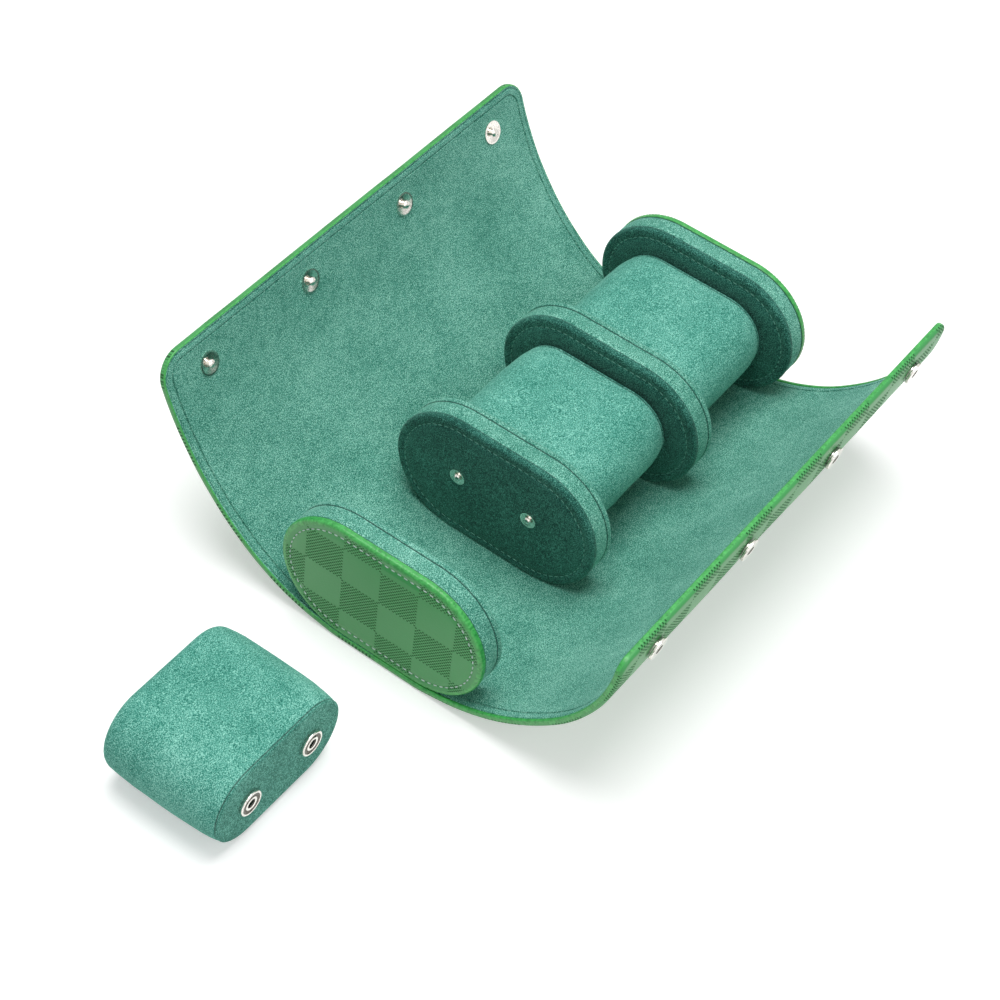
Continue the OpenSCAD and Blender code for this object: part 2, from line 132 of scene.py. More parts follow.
def suede(name, dark, middle, light, look=suedeLook):
    material, tree = newMaterial(name)
    place = addNode(tree, "Attribute", {"attribute_name": "flatPlace"}).outputs["Vector"]
    cloud = addNode(tree, "TexNoise", None, {
        "Vector": place, "Scale": 1000 / look["cloud"], "Detail": 2.0, "Roughness": 0.55})
    brushed = addNode(tree, "TexNoise", None, {
        "Vector": place, "Scale": 1000 / look["brushed"], "Detail": 3.0, "Roughness": 0.6,
        "Distortion": 0.4})
    fibre = addNode(tree, "TexNoise", None, {
        "Vector": place, "Scale": 1000 / look["fibre"], "Detail": 1.5, "Roughness": 0.7})
    tone = 0.5
    for texture, share in ((cloud, look["cloudShare"]), (brushed, look["brushedShare"]),
                           (fibre, look["fibreShare"])):
        centred = addNode(tree, "Math", {"operation": "SUBTRACT"}, {0: texture.outputs[0], 1: 0.5})
        summed = addNode(tree, "Math", {"operation": "MULTIPLY_ADD"},
                         {0: centred.outputs[0], 1: share, 2: tone})
        tone = summed.outputs[0]
    colour = blendTones(tree, tone, list(zip(look["stops"], (dark, middle, light))))
    bump = addNode(tree, "Bump", None, {
        "Height": tone, "Strength": look["bump"], "Distance": look["fibre"] * mm})
    shader = addNode(tree, "BsdfPrincipled", None, {
        "Base Color": colour, "Roughness": look["roughness"],
        "Specular IOR Level": look["specular"], "Sheen Weight": look["sheen"],
        "Sheen Roughness": look["sheenRoughness"], "Sheen Tint": linear(look["sheenTint"]),
        "Normal": bump.outputs[0]})
    finishMaterial(tree, shader)
    return material


# Coated leather, embossed in a plain chequerboard: smooth squares beside squares with a fine
# linen weave. The coating gives a soft grey gloss at low angles. Sizes in mm.
leatherLook = {"square": 18.4, "startU": 1.0, "startV": 0.2, "thread": 1.75, "grain": 0.9,
               "grainShare": 0.12, "depth": 0.35, "emboss": 0.6, "raisedFrom": -0.45,
               "raisedTo": 0.3, "roughness": 0.4, "grooveRoughness": 0.85}


def leather(name, smooth, woven, groove, look=leatherLook):
    material, tree = newMaterial(name)
    place = addNode(tree, "Attribute", {"attribute_name": "flatPlace"}).outputs["Vector"]
    parts = addNode(tree, "SeparateXYZ", None, {0: place})
    cells, threads = [], []
    for axis, start in (("X", look["startU"]), ("Y", look["startV"])):
        moved = addNode(tree, "Math", {"operation": "SUBTRACT"},
                        {0: parts.outputs[axis], 1: start * mm})
        cell = addNode(tree, "Math", {"operation": "DIVIDE"},
                       {0: moved.outputs[0], 1: look["square"] * mm})
        cells.append(addNode(tree, "Math", {"operation": "FLOOR"}, {0: cell.outputs[0]}))
        turn = addNode(tree, "Math", {"operation": "MULTIPLY"},
                       {0: moved.outputs[0], 1: 2 * math.pi / (look["thread"] * mm)})
        threads.append(addNode(tree, "Math", {"operation": "SINE"}, {0: turn.outputs[0]}))
    both = addNode(tree, "Math", {"operation": "ADD"},
                   {0: cells[0].outputs[0], 1: cells[1].outputs[0]})
    odd = addNode(tree, "Math", {"operation": "PINGPONG"}, {0: both.outputs[0], 1: 1.0})
    weave = addNode(tree, "Math", {"operation": "MULTIPLY"},
                    {0: threads[0].outputs[0], 1: threads[1].outputs[0]})
    raised = addNode(tree, "MapRange", None, {
        "Value": weave.outputs[0], "From Min": look["raisedFrom"], "From Max": look["raisedTo"]})
    sunk = addNode(tree, "Math", {"operation": "SUBTRACT"}, {0: 1.0, 1: raised.outputs[0]})
    pressed = addNode(tree, "Math", {"operation": "MULTIPLY"},
                      {0: sunk.outputs[0], 1: odd.outputs[0]})
    grain = addNode(tree, "TexVoronoi", {"feature": "F1"}, {
        "Vector": place, "Scale": 1000 / look["grain"], "Randomness": 1.0})
    base = addNode(tree, "Mix", {"data_type": "RGBA"}, {
        0: odd.outputs[0], 6: linear(smooth), 7: linear(woven)})
    # the pressed grooves of the weave are painted dark: painted shade in the recesses
    shadedGrooves = addNode(tree, "Mix", {"data_type": "RGBA"}, {
        0: pressed.outputs[0], 6: base.outputs[2], 7: linear(groove)})
    height = addNode(tree, "Math", {"operation": "MULTIPLY"},
                     {0: grain.outputs["Distance"], 1: look["grainShare"]})
    level = addNode(tree, "Math", {"operation": "SUBTRACT"},
                    {0: height.outputs[0], 1: pressed.outputs[0]})
    bump = addNode(tree, "Bump", None, {
        "Height": level.outputs[0], "Strength": look["emboss"],
        "Distance": look["depth"] * mm})
    # the pressed grooves stay dull where the raised leather shines
    dull = addNode(tree, "MapRange", None, {
        "Value": pressed.outputs[0], "To Min": look["roughness"],
        "To Max": look["grooveRoughness"]})
    shader = addNode(tree, "BsdfPrincipled", None, {
        "Base Color": shadedGrooves.outputs[2], "Roughness": dull.outputs[0],
        "Specular IOR Level": 0.5, "Normal": bump.outputs[0]})
    finishMaterial(tree, shader)
    return material


# Leather turned over an edge: glossier, painted brighter than the face as a highlight, and gathered
# into small crimps whose folds hold painted shade and whose crests a painted highlight.
rolledLook = {"crimp": 1.5, "depth": 0.5, "bump": 0.45, "roughness": 0.34}


def rolledLeather(name, dark, light, look=rolledLook):
    material, tree = newMaterial(name)
    place = addNode(tree, "Attribute", {"attribute_name": "flatPlace"}).outputs["Vector"]
    crimps = addNode(tree, "TexNoise", None, {
        "Vector": place, "Scale": 1000 / look["crimp"], "Detail": 2.0, "Distortion": 0.8})
    # the tone follows the crimps: painted shade in their folds, painted highlight on their crests
    colour = blendTones(tree, crimps.outputs[0], [(0.25, dark), (0.7, light)])
    bump = addNode(tree, "Bump", None, {
        "Height": crimps.outputs[0], "Strength": look["bump"], "Distance": look["depth"] * mm})
    shader = addNode(tree, "BsdfPrincipled", None, {
        "Base Color": colour, "Roughness": look["roughness"], "Specular IOR Level": 0.5,
        "Normal": bump.outputs[0]})
    finishMaterial(tree, shader)
    return material


# Twisted polyester thread: fine slanting strands with a slight lustre.
def thread(name, dark, light, strand=0.35):
    material, tree = newMaterial(name)
    place = addNode(tree, "Attribute", {"attribute_name": "flatPlace"}).outputs["Vector"]
    twist = addNode(tree, "TexNoise", None, {
        "Vector": place, "Scale": 1000 / strand, "Detail": 1.0})
    colour = blendTones(tree, twist.outputs[0], [(0.3, dark), (0.7, light)])
    bump = addNode(tree, "Bump", None, {
        "Height": twist.outputs[0], "Strength": 0.3, "Distance": 0.1 * mm})
    shader = addNode(tree, "BsdfPrincipled", None, {
        "Base Color": colour, "Roughness": 0.6, "Normal": bump.outputs[0]})
    finishMaterial(tree, shader)
    return material


# Nickel plate over pressed brass: bright, with faint polishing marks and a duller patina. The
# shaded plate and spring steel are the same, darker and less polished; the shaded plate's darkness
# is painted shade.
def platedMetal(name, bright, dull, roughness, polish=0.5):
    material, tree = newMaterial(name)
    place = addNode(tree, "TexCoord").outputs["Object"]
    marks = addNode(tree, "TexNoise", None, {
        "Vector": place, "Scale": 1000 / polish, "Detail": 2.0})
    colour = blendTones(tree, marks.outputs[0], [(0.3, dull), (0.6, bright)])
    rough = addNode(tree, "MapRange", None, {
        "Value": marks.outputs[0], "To Min": roughness * 0.8, "To Max": roughness * 1.4})
    shader = addNode(tree, "BsdfPrincipled", None, {
        "Base Color": colour, "Metallic": 1.0, "Roughness": rough.outputs[0]})
    finishMaterial(tree, shader)
    return material


# Open foam and pulp board, both hidden in the finished case: matt, with pores or fibres.
def filler(name, dark, light, pore):
    material, tree = newMaterial(name)
    place = addNode(tree, "TexCoord").outputs["Object"]
    pores = addNode(tree, "TexVoronoi", None, {"Vector": place, "Scale": 1000 / pore})
    colour = blendTones(tree, pores.outputs["Distance"], [(0.1, dark), (0.6, light)])
    bump = addNode(tree, "Bump", None, {
        "Height": pores.outputs["Distance"], "Strength": 0.4, "Distance": 0.3 * mm})
    shader = addNode(tree, "BsdfPrincipled", None, {
        "Base Color": colour, "Roughness": 0.9, "Normal": bump.outputs[0]})
    finishMaterial(tree, shader)
    return material


# The inner panels' front faces and the cushions' socket ends get darker copies of the suede:
# painted shade on the sides turned from the light.
liningSuede = suede("liningSuede", "#1b5f50", "#509a87", "#a0dbc9")
cushionSuede = suede("cushionSuede", "#1d6657", "#4a9a89", "#96d8c7")
shadedEndSuede = suede("shadedEndSuede", "#124a3f", "#3a8272", "#7fc4b3")
shadedPanelSuede = suede("shadedPanelSuede", "#062d27", "#205c50", "#569a8a")
# the last leather colour is painted shade for the weave's pressed grooves
chequeredLeather = leather("chequeredLeather", "#38924c", "#459f57", "#0e5424")
edgeLeather = rolledLeather("rolledEdgeLeather", "#1d7f36", "#48b257")
paleThread = thread("paleThread", "#9dbfb4", "#dcebe4")
tealThread = thread("tealThread", "#3f8c7a", "#84c3b1")
seamThread = thread("darkSeamThread", "#0d3a32", "#235c50")
nickel = platedMetal("nickelPlate", "#efece5", "#c2beb5", 0.16)
# painted shade and reflection for the sockets' dish and bore
shadedNickel = platedMetal("shadedNickel", "#77736b", "#38362f", 0.3)
springSteel = platedMetal("springSteel", "#8f8c86", "#6a6862", 0.34)
openFoam = filler("openFoam", "#9a937f", "#d8d3c2", 1.2)
pulpBoard = filler("pulpBoard", "#6f6a60", "#938d81", 0.8)
print("materials made")


# Every point keeps its flat place, so that a pattern stays on the surface as it bends.
def spread(bm):
    layer = bm.verts.layers.float_vector.new("flatPlace")
    for vert in bm.verts:
        vert[layer] = vert.co * mm


creaseAngle = 38  # degrees; a sharper edge is drawn as a crease


def addPiece(name, bm, materials, body=None, replaced=()):
    bmesh.ops.recalc_face_normals(bm, faces=bm.faces)
    limit = math.radians(creaseAngle)
    for face in bm.faces:
        face.smooth = True
    for edge in bm.edges:
        edge.smooth = len(edge.link_faces) == 2 and edge.calc_face_angle(0.0) < limit
    mesh = bpy.data.meshes.new(name)
    bm.to_mesh(mesh)
    bm.free()
    for material in materials:
        mesh.materials.append(material)
    piece = bpy.data.objects.new(name, mesh)
    scene.collection.objects.link(piece)
    if body:
        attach(piece, body)
    if replaced:
        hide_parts(*replaced)
    return piece


def cutAlong(bm, axis, places):
    for place in places:
        spot = Vector((0, 0, 0))
        spot[axis] = place
        aim = Vector((0, 0, 0))
        aim[axis] = 1
        bmesh.ops.bisect_plane(bm, geom=bm.verts[:] + bm.edges[:] + bm.faces[:],
                               plane_co=spot, plane_no=aim, dist=1e-4)


def evenSteps(low, high, step):
    count = max(1, round((high - low) / step))
    return [low + (high - low) * i / count for i in range(1, count)]


# Places and headings at an even pitch round a rectangle with round corners.
def walkRound(width, length, near, far, pitch, centre=(0.0, 0.0)):
    side = length - near - far
    legs = [(width - 2 * near, near), (side, far), (width - 2 * far, far), (side, near)]
    total = sum(straight + math.pi / 2 * corner for straight, corner in legs)
    count = round(total / pitch)
    found = []
    for i in range(count):
        s = (i + 0.5) * total / count
        heading = 0.0
        x, y = near - width / 2, -length / 2
        for straight, corner in legs:
            part = min(s, straight)
            x += part * math.cos(heading)
            y += part * math.sin(heading)
            s -= part
            if s <= 0:
                break
            part = min(s, math.pi / 2 * corner)
            bent = heading + part / corner
            x += corner * (math.sin(bent) - math.sin(heading))
            y -= corner * (math.cos(bent) - math.cos(heading))
            heading = bent
            s -= part
            if s <= 0:
                break
        found.append((x + centre[0], y + centre[1], heading))
    return found


stitchSlant = 0.06  # radians off the seam's line


# One visible stitch: a bead of thread lying along the seam.
def addStitch(bm, x, y, z, heading, length, thick):
    turn = Matrix.Translation((x, y, z)) @ Matrix.Rotation(heading + stitchSlant, 4, "Z")
    shape = Matrix.Diagonal((length / 2, thick / 2, thick / 2, 1))
    bmesh.ops.create_uvsphere(bm, u_segments=6, v_segments=4, radius=1,
                              matrix=turn @ shape @ Matrix.Rotation(math.pi / 2, 4, "Y"))


# The wrap: leather outside, suede inside, one chain of runs from the base up each flap.
# Lengths in mm along the lining and turns in degrees, as the frame has them.
wrap = {
    "width": 240.0, "thick": 3.0, "lining": 1.2, "lip": 1.6, "lipRise": 0.2, "lipGap": 0.08,
    "lipRound": (0.6, 3), "hemRound": (1.3, 4), "liningRound": (0.35, 2), "trayWall": 0.03,
    "rolled": {"high": -1.0, "low": -1.4}, "rolledPast": 0.3, "suedePast": 0.6,
    "corner": {"high": 12.0, "low": 6.0}, "cornerSegments": 10,
    "foot": [(19.0, 0), (5.4454, 10), (7.0, 0)],
    "high": [(20.0, 15), (20.0, 13), (20.0, 10), (20.0, 8), (20.0, 8), (28.0, 11)],
    "low": [(20.0, 14), (20.0, 12), (20.0, 10), (20.0, 13), (41.0, 30)],
    "strip": 20.0, "strips": {"high": 5, "low": 4}, "stepV": 2.0, "stepU": 6.0, "reach": 6.0,
    "seam": 3.0, "groove": 0.7, "puff": 0.25, "puffBelow": -0.6, "puffFade": 1.2,
    "ripple": 0.3, "rippleFrom": 40, "rippleFade": 40, "tipFlat": 2, "tipFade": 12,
    "broadWave": (46, 34), "fineWave": (17, 15), "fineShare": 0.4,
    "stitch": 2.2, "stitchThick": 0.44, "stitchPitch": 3.3, "stitchRise": 0.2,
    "snapX": (-95.25, -31.75, 31.75, 95.25), "studEdge": 15.5, "studSeat": 6.4, "studReach": 20,
}
flapRuns = {"high": wrap["foot"] + wrap["high"], "low": wrap["foot"] + wrap["low"]}
flapLength = {side: sum(run[0] for run in runs) for side, runs in flapRuns.items()}
footLength = sum(run[0] for run in wrap["foot"])
studV = flapLength["high"] - wrap["studEdge"]


# Where the lining's face is a distance s from the middle of the base, and its heading.
def onSection(runs, s):
    y, z, heading = 0.0, wrap["thick"], 0.0
    for length, turn in runs:
        part = min(s, length)
        if turn == 0:
            y += part * math.cos(heading)
            z += part * math.sin(heading)
        else:
            radius = length / math.radians(turn)
            bent = heading + part / radius
            y += radius * (math.sin(bent) - math.sin(heading))
            z -= radius * (math.cos(bent) - math.cos(heading))
            heading = bent
        s -= part
        if s <= 0:
            return y, z, heading
    return y + s * math.cos(heading), z + s * math.sin(heading), heading


def sidePoint(side, s, w=0.0, x=0.0):
    y, z, heading = onSection(flapRuns[side], s)
    sign = 1 if side == "high" else -1
    return Vector((x, sign * (y - w * math.sin(heading)), z + w * math.cos(heading))) * mm


def ease(t):
    t = min(1.0, max(0.0, t))
    return t * t * (3 - 2 * t)


# The distance to the nearest stud, as a share of the seat that is pressed flat round it.
def nearStud(u, v):
    if v < studV - wrap["studReach"]:
        return math.inf
    return min(math.hypot(u - x, v - studV) for x in wrap["snapX"]) / wrap["studSeat"]


# Soft undulation of the flaps, none where the dividers stand or the snaps sit.
def waviness(u, v):
    free = ease((abs(v) - wrap["rippleFrom"]) / wrap["rippleFade"]) * ease(nearStud(u, v) - 0.9)
    if v < 0:
        free *= ease((v + flapLength["low"] - wrap["tipFlat"]) / wrap["tipFade"])
    (broadU, broadV), (fineU, fineV) = wrap["broadWave"], wrap["fineWave"]
    swell = noise.noise(Vector((u / broadU, v / broadV, 3.1)))
    swell += wrap["fineShare"] * noise.noise(Vector((u / fineU, v / fineV, 7.7)))
    return wrap["ripple"] * free * swell


def bendOver(bm, puffed=False):
    spread(bm)
    for vert in bm.verts:
        u, v, w = vert.co
        side = "high" if v >= 0 else "low"
        lift = waviness(u, v)
        if puffed and w > wrap["puffBelow"]:
            inside = min(wrap["width"] / 2 - abs(u), flapLength[side] - abs(v)) - wrap["lip"]
            lift += wrap["puff"] * ease(inside / wrap["puffFade"]) * ease(nearStud(u, v) - 0.85)
        vert.co = sidePoint(side, abs(v), w + lift, u)


def flatPlate(inset, low, high):
    bm = bmesh.new()
    bmesh.ops.create_cube(bm, size=1)
    start, end = -flapLength["low"] + inset, flapLength["high"] - inset
    bmesh.ops.scale(bm, verts=bm.verts, vec=(wrap["width"] - 2 * inset, end - start, high - low))
    bmesh.ops.translate(bm, verts=bm.verts, vec=(0, (start + end) / 2, (low + high) / 2))
    for side, sign in (("high", 1), ("low", -1)):
        upright = [e for e in bm.edges if abs(e.verts[0].co.z - e.verts[1].co.z) > 0.1
                   and e.verts[0].co.y * sign > 0]
        bmesh.ops.bevel(bm, geom=upright, offset=wrap["corner"][side] - inset,
                        offset_type="OFFSET", segments=wrap["cornerSegments"], profile=0.5,
                        affect="EDGES", material=-1)
    bm.normal_update()
    return bm


# Draws the top face in by so much, and lowers or raises it.
def stepIn(bm, across, down):
    top = max((f for f in bm.faces if f.normal.z > 0.9), key=lambda f: f.calc_area())
    bmesh.ops.inset_region(bm, faces=[top], thickness=across, depth=down, use_even_offset=True)
    bm.normal_update()


# Rounds the sharp rim that lies at one height.
def roundOver(bm, height, offset, segments):
    limit = math.radians(50)
    rim = [e for e in bm.edges
           if all(abs(v.co.z - height) < 1e-3 for v in e.verts)
           and len(e.link_faces) == 2 and e.calc_face_angle(0.0) > limit]
    bmesh.ops.bevel(bm, geom=rim, offset=offset, offset_type="OFFSET", segments=segments,
                    profile=0.5, affect="EDGES", material=-1)
    bm.normal_update()


def flatLeather():
    bm = flatPlate(0, -wrap["thick"], wrap["lipRise"])
    stepIn(bm, wrap["lip"], 0)
    stepIn(bm, wrap["trayWall"], -wrap["lining"] - wrap["lipRise"])
    roundOver(bm, wrap["lipRise"], *wrap["lipRound"])
    roundOver(bm, -wrap["thick"], *wrap["hemRound"])
    return bm


def flatLining():
    bm = flatPlate(wrap["lip"] + wrap["lipGap"], -wrap["lining"] + 0.06, 0)
    roundOver(bm, 0, *wrap["liningRound"])
    # over the hem, down into the seam, up again and on
    for across, down in ((0.8, 0.05), (wrap["seam"] - 1.6, 0), (0.45, -wrap["groove"]),
                         (0.45, wrap["groove"]), (0.6, 0.02)):
        stepIn(bm, across, down)
    return bm


def flatStitches():
    bm = bmesh.new()
    inset = wrap["lip"] + wrap["lipGap"] + wrap["seam"]
    start, end = -flapLength["low"] + inset, flapLength["high"] - inset
    marks = walkRound(wrap["width"] - 2 * inset, end - start, wrap["corner"]["low"] - inset,
                      wrap["corner"]["high"] - inset, wrap["stitchPitch"], (0, (start + end) / 2))
    for x, y, heading in marks:
        addStitch(bm, x, y, -wrap["groove"] + wrap["stitchRise"], heading,
                  wrap["stitch"], wrap["stitchThick"])
    return bm


# Cuts one span of the flat wrap out and closes its ends.
def keepSpan(bm, low, high):
    for place, aim in ((low, -1), (high, 1)):
        if place is None:
            continue
        cut = bmesh.ops.bisect_plane(
            bm, geom=bm.verts[:] + bm.edges[:] + bm.faces[:], plane_co=(0, place, 0),
            plane_no=(0, aim, 0), clear_outer=True, dist=1e-5)
        rim = [e for e in cut["geom_cut"] if isinstance(e, bmesh.types.BMEdge)]
        bmesh.ops.holes_fill(bm, edges=rim, sides=0)


# The turned edge is the rolled leather, painted brighter as a highlight, the rest the embossed one.
# Along the high flap the lining's suede reaches almost to the edge.
def markRolled(bm):
    for face in bm.faces:
        c = face.calc_center_median()
        side = "high" if c.y > 0 else "low"
        corner = wrap["corner"][side]
        past = Vector((abs(c.x) - wrap["width"] / 2, abs(c.y) - flapLength[side]))
        past += Vector((corner, corner))
        outside = Vector((max(past.x, 0), max(past.y, 0))).length + min(max(past.x, past.y), 0)
        margin = corner - outside
        if margin > wrap["lip"] + wrap["rolledPast"] or c.z < wrap["rolled"][side]:
            face.material_index = 0
        else:
            face.material_index = 2 if side == "high" and margin > wrap["suedePast"] else 1


# (name, low, high, side, strip): the base, one piece over each hinge line, and the tips.
def wrapSpans():
    first = footLength - wrap["reach"]
    spans = [("base", -first, first, None, 0)]
    for side, name, sign in (("high", "left", 1), ("low", "right", -1)):
        count = wrap["strips"][side]
        cuts = [first] + [footLength + wrap["strip"] * (k + 0.5) for k in range(count)]
        for k in range(1, count + 1):
            ends = sorted((sign * cuts[k - 1], sign * cuts[k]))
            spans.append((f"{name}_{k}", ends[0], ends[1], side, k))
        tip = (cuts[-1], None) if sign > 0 else (None, -cuts[-1])
        spans.append((f"{name}_tip", tip[0], tip[1], side, count + 1))
    return spans


# A tip rides on the last strip; a piece over a hinge line only has its place baked into its mesh.
def joinBody(piece, side, strip, name):
    bodies = ["case"] + [f"{name}_strip_{k}" for k in range(1, wrap["strips"][side] + 1)]
    if strip > wrap["strips"][side]:
        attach(piece, bodies[-1])
        return
    hinge = footLength + wrap["strip"] * (strip - 1)
    reach = wrap["reach"] - 0.5 if strip == 1 else wrap["strip"] / 2 - 1
    sidePoint(side, hinge - reach)
    sidePoint(side, hinge + reach)
    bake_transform(piece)


def makeWrap():
    layers = {
        "leather": (flatLeather(), [chequeredLeather, edgeLeather, liningSuede],
                    "green_leather", True),
        "lining": (flatLining(), [liningSuede], "teal_suede", True),
        "stitches": (flatStitches(), [tealThread], "teal_suede", False),
    }
    for span, low, high, side, strip in wrapSpans():
        for layer, (flat, materials, slot, solid) in layers.items():
            bm = flat.copy()
            if solid:
                keepSpan(bm, low, high)
                spanLow = -flapLength["low"] if low is None else low
                spanHigh = flapLength["high"] if high is None else high
                cutAlong(bm, 1, evenSteps(spanLow, spanHigh, wrap["stepV"]))
                cutAlong(bm, 0, evenSteps(-wrap["width"] / 2, wrap["width"] / 2, wrap["stepU"]))
            else:
                keepStitches(bm, low, high)
            if layer == "leather":
                bm.normal_update()
                markRolled(bm)
            bendOver(bm, layer == "lining")
            name = span.split("_")[0]
            piece = addPiece(f"{span}_{layer}_cover" if layer != "stitches" else f"{span}_stitches",
                             bm, materials)
            if layer != "stitches":
                count = 0 if side is None else min(strip, wrap["strips"][side])
                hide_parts(f"{name}_{layer}_{count}" if count else f"base_{layer}")
            if side is None:
                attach(piece, "case")
            else:
                joinBody(piece, side, strip, name)
    for flat, *_ in layers.values():
        flat.free()


# Whole stitches stay: each belongs to the span that holds its middle.
def keepStitches(bm, low, high):
    seen, gone = set(), []
    for start in bm.verts:
        if start in seen:
            continue
        stitch, waiting = [start], [start]
        seen.add(start)
        while waiting:
            for edge in waiting.pop().link_edges:
                for vert in edge.verts:
                    if vert not in seen:
                        seen.add(vert)
                        stitch.append(vert)
                        waiting.append(vert)
        middle = sum(v.co.y for v in stitch) / len(stitch)
        if (low is not None and middle < low) or (high is not None and middle >= high):
            gone += stitch
    bmesh.ops.delete(bm, geom=gone, context="VERTS")


makeWrap()
print("wrap made")


# Dividers, bands and cushions are lofted ovals. This moves a point to a radius from the spine
# of the oval, which runs across the case.
def ovalPull(vert, half, radius):
    spine = min(half, max(-half, vert.co.y))
    way = Vector((0, vert.co.y - spine, vert.co.z)).normalized()
    vert.co = Vector((vert.co.x, spine, 0)) + way * radius


# Rings from one face round to the other: each is (place along X, inset from the outline).
def loftOval(width, height, profile, count, closed=False):
    half = (width - height) / 2
    bm = bmesh.new()
    bmesh.ops.create_circle(bm, cap_ends=False, segments=count, radius=height / 2)
    bmesh.ops.rotate(bm, verts=bm.verts, cent=(0, 0, 0),
                     matrix=Matrix.Rotation(math.pi / count, 3, "Z"))
    for side in (-1, 1):
        bmesh.ops.translate(bm, vec=(side * half, 0, 0),
                            verts=[v for v in bm.verts if v.co.x * side > 0])
    bmesh.ops.rotate(bm, verts=bm.verts, cent=(0, 0, 0),
                     matrix=Matrix.Rotation(math.radians(120), 3, Vector((1, 1, 1))))
    first = ring = bm.edges[:]
    for i, (x, inset) in enumerate(profile):
        if i:
            made = bmesh.ops.extrude_edge_only(bm, edges=ring)["geom"]
            ring = [g for g in made if isinstance(g, bmesh.types.BMEdge)]
        for vert in {v for e in ring for v in e.verts}:
            vert.co.x = x
            ovalPull(vert, half, height / 2 - inset)
    if closed:
        bmesh.ops.bridge_loops(bm, edges=first + ring)
    else:
        bmesh.ops.holes_fill(bm, edges=first, sides=0)
        bmesh.ops.holes_fill(bm, edges=ring, sides=0)
    cutAlong(bm, 1, evenSteps(-half - 0.6, half + 0.6, 5.0))
    return bm


# Brings a shape in mm to its place in the case, in metres.
def putInPlace(bm, spot):
    bmesh.ops.transform(bm, matrix=spot, verts=bm.verts)
    spread(bm)
    bmesh.ops.scale(bm, verts=bm.verts, vec=(mm, mm, mm))


# Sizes in mm, from the frame: four dividers, each two panels with a band between them.
dividers = {
    "fronts": (-119.5, -44.5, 30.5, 105.5), "width": 100.0, "height": 62.0, "centre": 34.0,
    "panel": 3.0, "gap": 8.0, "drop": 0.6, "segments": 128, "seam": 4.4, "groove": 0.35,
    "stitchPitch": 3.1, "stitchRise": 0.22,
    "leather": {"rounding": 1.3, "crown": 0.1, "segments": 384, "stitch": (2.0, 0.6)},
    "suede": {"rounding": 1.5, "crown": 0.35, "segments": 128, "stitch": (2.3, 0.42)},
    "crimp": 1.7, "crimpDepth": 0.32, "crimpReach": 2.4, "crimpFade": 8, "rim": 2.6,
}
ovalHalf = (dividers["width"] - dividers["height"]) / 2


# From the middle of the show face, over the stitched seam and the rounded rim, to the back.
def panelProfile(rounding, crown):
    thick, seam, groove = dividers["panel"], dividers["seam"], dividers["groove"]
    lines = [(-crown, 19.0), (-crown * 0.9, 13.0), (-crown * 0.6, seam + 3.0),
             (0.0, seam + 0.7), (groove, seam), (0.0, seam - 0.7), (-0.02, rounding + 0.8)]
    for i in range(6):
        turn = math.pi / 2 * i / 5
        lines.append((rounding * (1 - math.cos(turn)), rounding * (1 - math.sin(turn))))
    lines += [(thick - 0.55, 0.0), (thick - 0.2, 0.12), (thick - 0.02, 0.5), (thick - 0.02, 3.0)]
    return lines


# The leather is gathered where it turns round the ends of the oval.
def crimpRim(bm):
    radius = dividers["height"] / 2
    for vert in bm.verts:
        spine = min(ovalHalf, max(-ovalHalf, vert.co.y))
        arm = Vector((vert.co.y - spine, vert.co.z))
        if arm.length < radius - dividers["crimpReach"] or abs(vert.co.y) < ovalHalf:
            continue
        angle = math.atan2(arm.y, arm.x)
        beat = 0.5 + 0.5 * math.cos(angle * radius * 2 * math.pi / dividers["crimp"])
        wild = 0.5 + 0.5 * noise.noise(Vector((arm.x / 6, arm.y / 6, vert.co.x)))
        fade = ease((abs(vert.co.y) - ovalHalf) / dividers["crimpFade"])
        depth = dividers["crimpDepth"] * beat * wild * fade
        pulled = arm * (1 - depth / arm.length)
        vert.co.y, vert.co.z = spine + pulled.x, pulled.y


# The rim is the turned leather, the face inside it the embossed one.
def markRim(bm):
    for face in bm.faces:
        c = face.calc_center_median()
        arm = math.hypot(max(abs(c.y) - ovalHalf, 0), c.z)
        face.material_index = int(dividers["height"] / 2 - arm < dividers["rim"])


# The squares run with the case: across it and up.
def turnSquares(bm):
    layer = bm.verts.layers.float_vector["flatPlace"]
    for vert in bm.verts:
        vert[layer] = Vector((vert[layer].y, vert[layer].z, vert[layer].x))


def makePanel(index, end):
    d = dividers
    outer = (index, end) in ((1, "front"), (4, "back"))
    kind = d["leather"] if outer else d["suede"]
    if outer:
        facing = [chequeredLeather, edgeLeather]
    else:
        # the inner panels' front faces take the darker suede, as painted shade
        facing = [shadedPanelSuede if end == "front" else liningSuede]
    bm = loftOval(d["width"], d["height"], panelProfile(kind["rounding"], kind["crown"]),
                  kind["segments"])
    if outer:
        crimpRim(bm)
    x = d["fronts"][index - 1]
    if end == "back":
        bmesh.ops.scale(bm, verts=bm.verts, vec=(-1, 1, 1))
        bmesh.ops.reverse_faces(bm, faces=bm.faces)
        x += 2 * d["panel"] + d["gap"]
    if outer:
        markRim(bm)
    spot = Matrix.Translation((x, 0, d["centre"]))
    putInPlace(bm, spot)
    if outer:
        turnSquares(bm)
    addPiece(f"divider_{index}_{end}_cover", bm, facing, "case",
             [f"divider_{index}_{end}_panel"])
    stitches = bmesh.new()
    bend = d["height"] / 2 - d["seam"] - 1e-4
    marks = walkRound(d["width"] - 2 * d["seam"], d["height"] - 2 * d["seam"], bend, bend,
                      d["stitchPitch"])
    for a, b, heading in marks:
        addStitch(stitches, a, b, -d["groove"] + d["stitchRise"], heading, *kind["stitch"])
    bmesh.ops.rotate(stitches, verts=stitches.verts, cent=(0, 0, 0),
                     matrix=Matrix.Rotation(math.radians(120), 3, Vector((1, 1, 1))))
    way = -1 if end == "front" else 1
    bmesh.ops.scale(stitches, verts=stitches.verts, vec=(way, 1, 1))
    putInPlace(stitches, spot)
    addPiece(f"divider_{index}_{end}_stitches", stitches, [paleThread if outer else tealThread],
             "case")


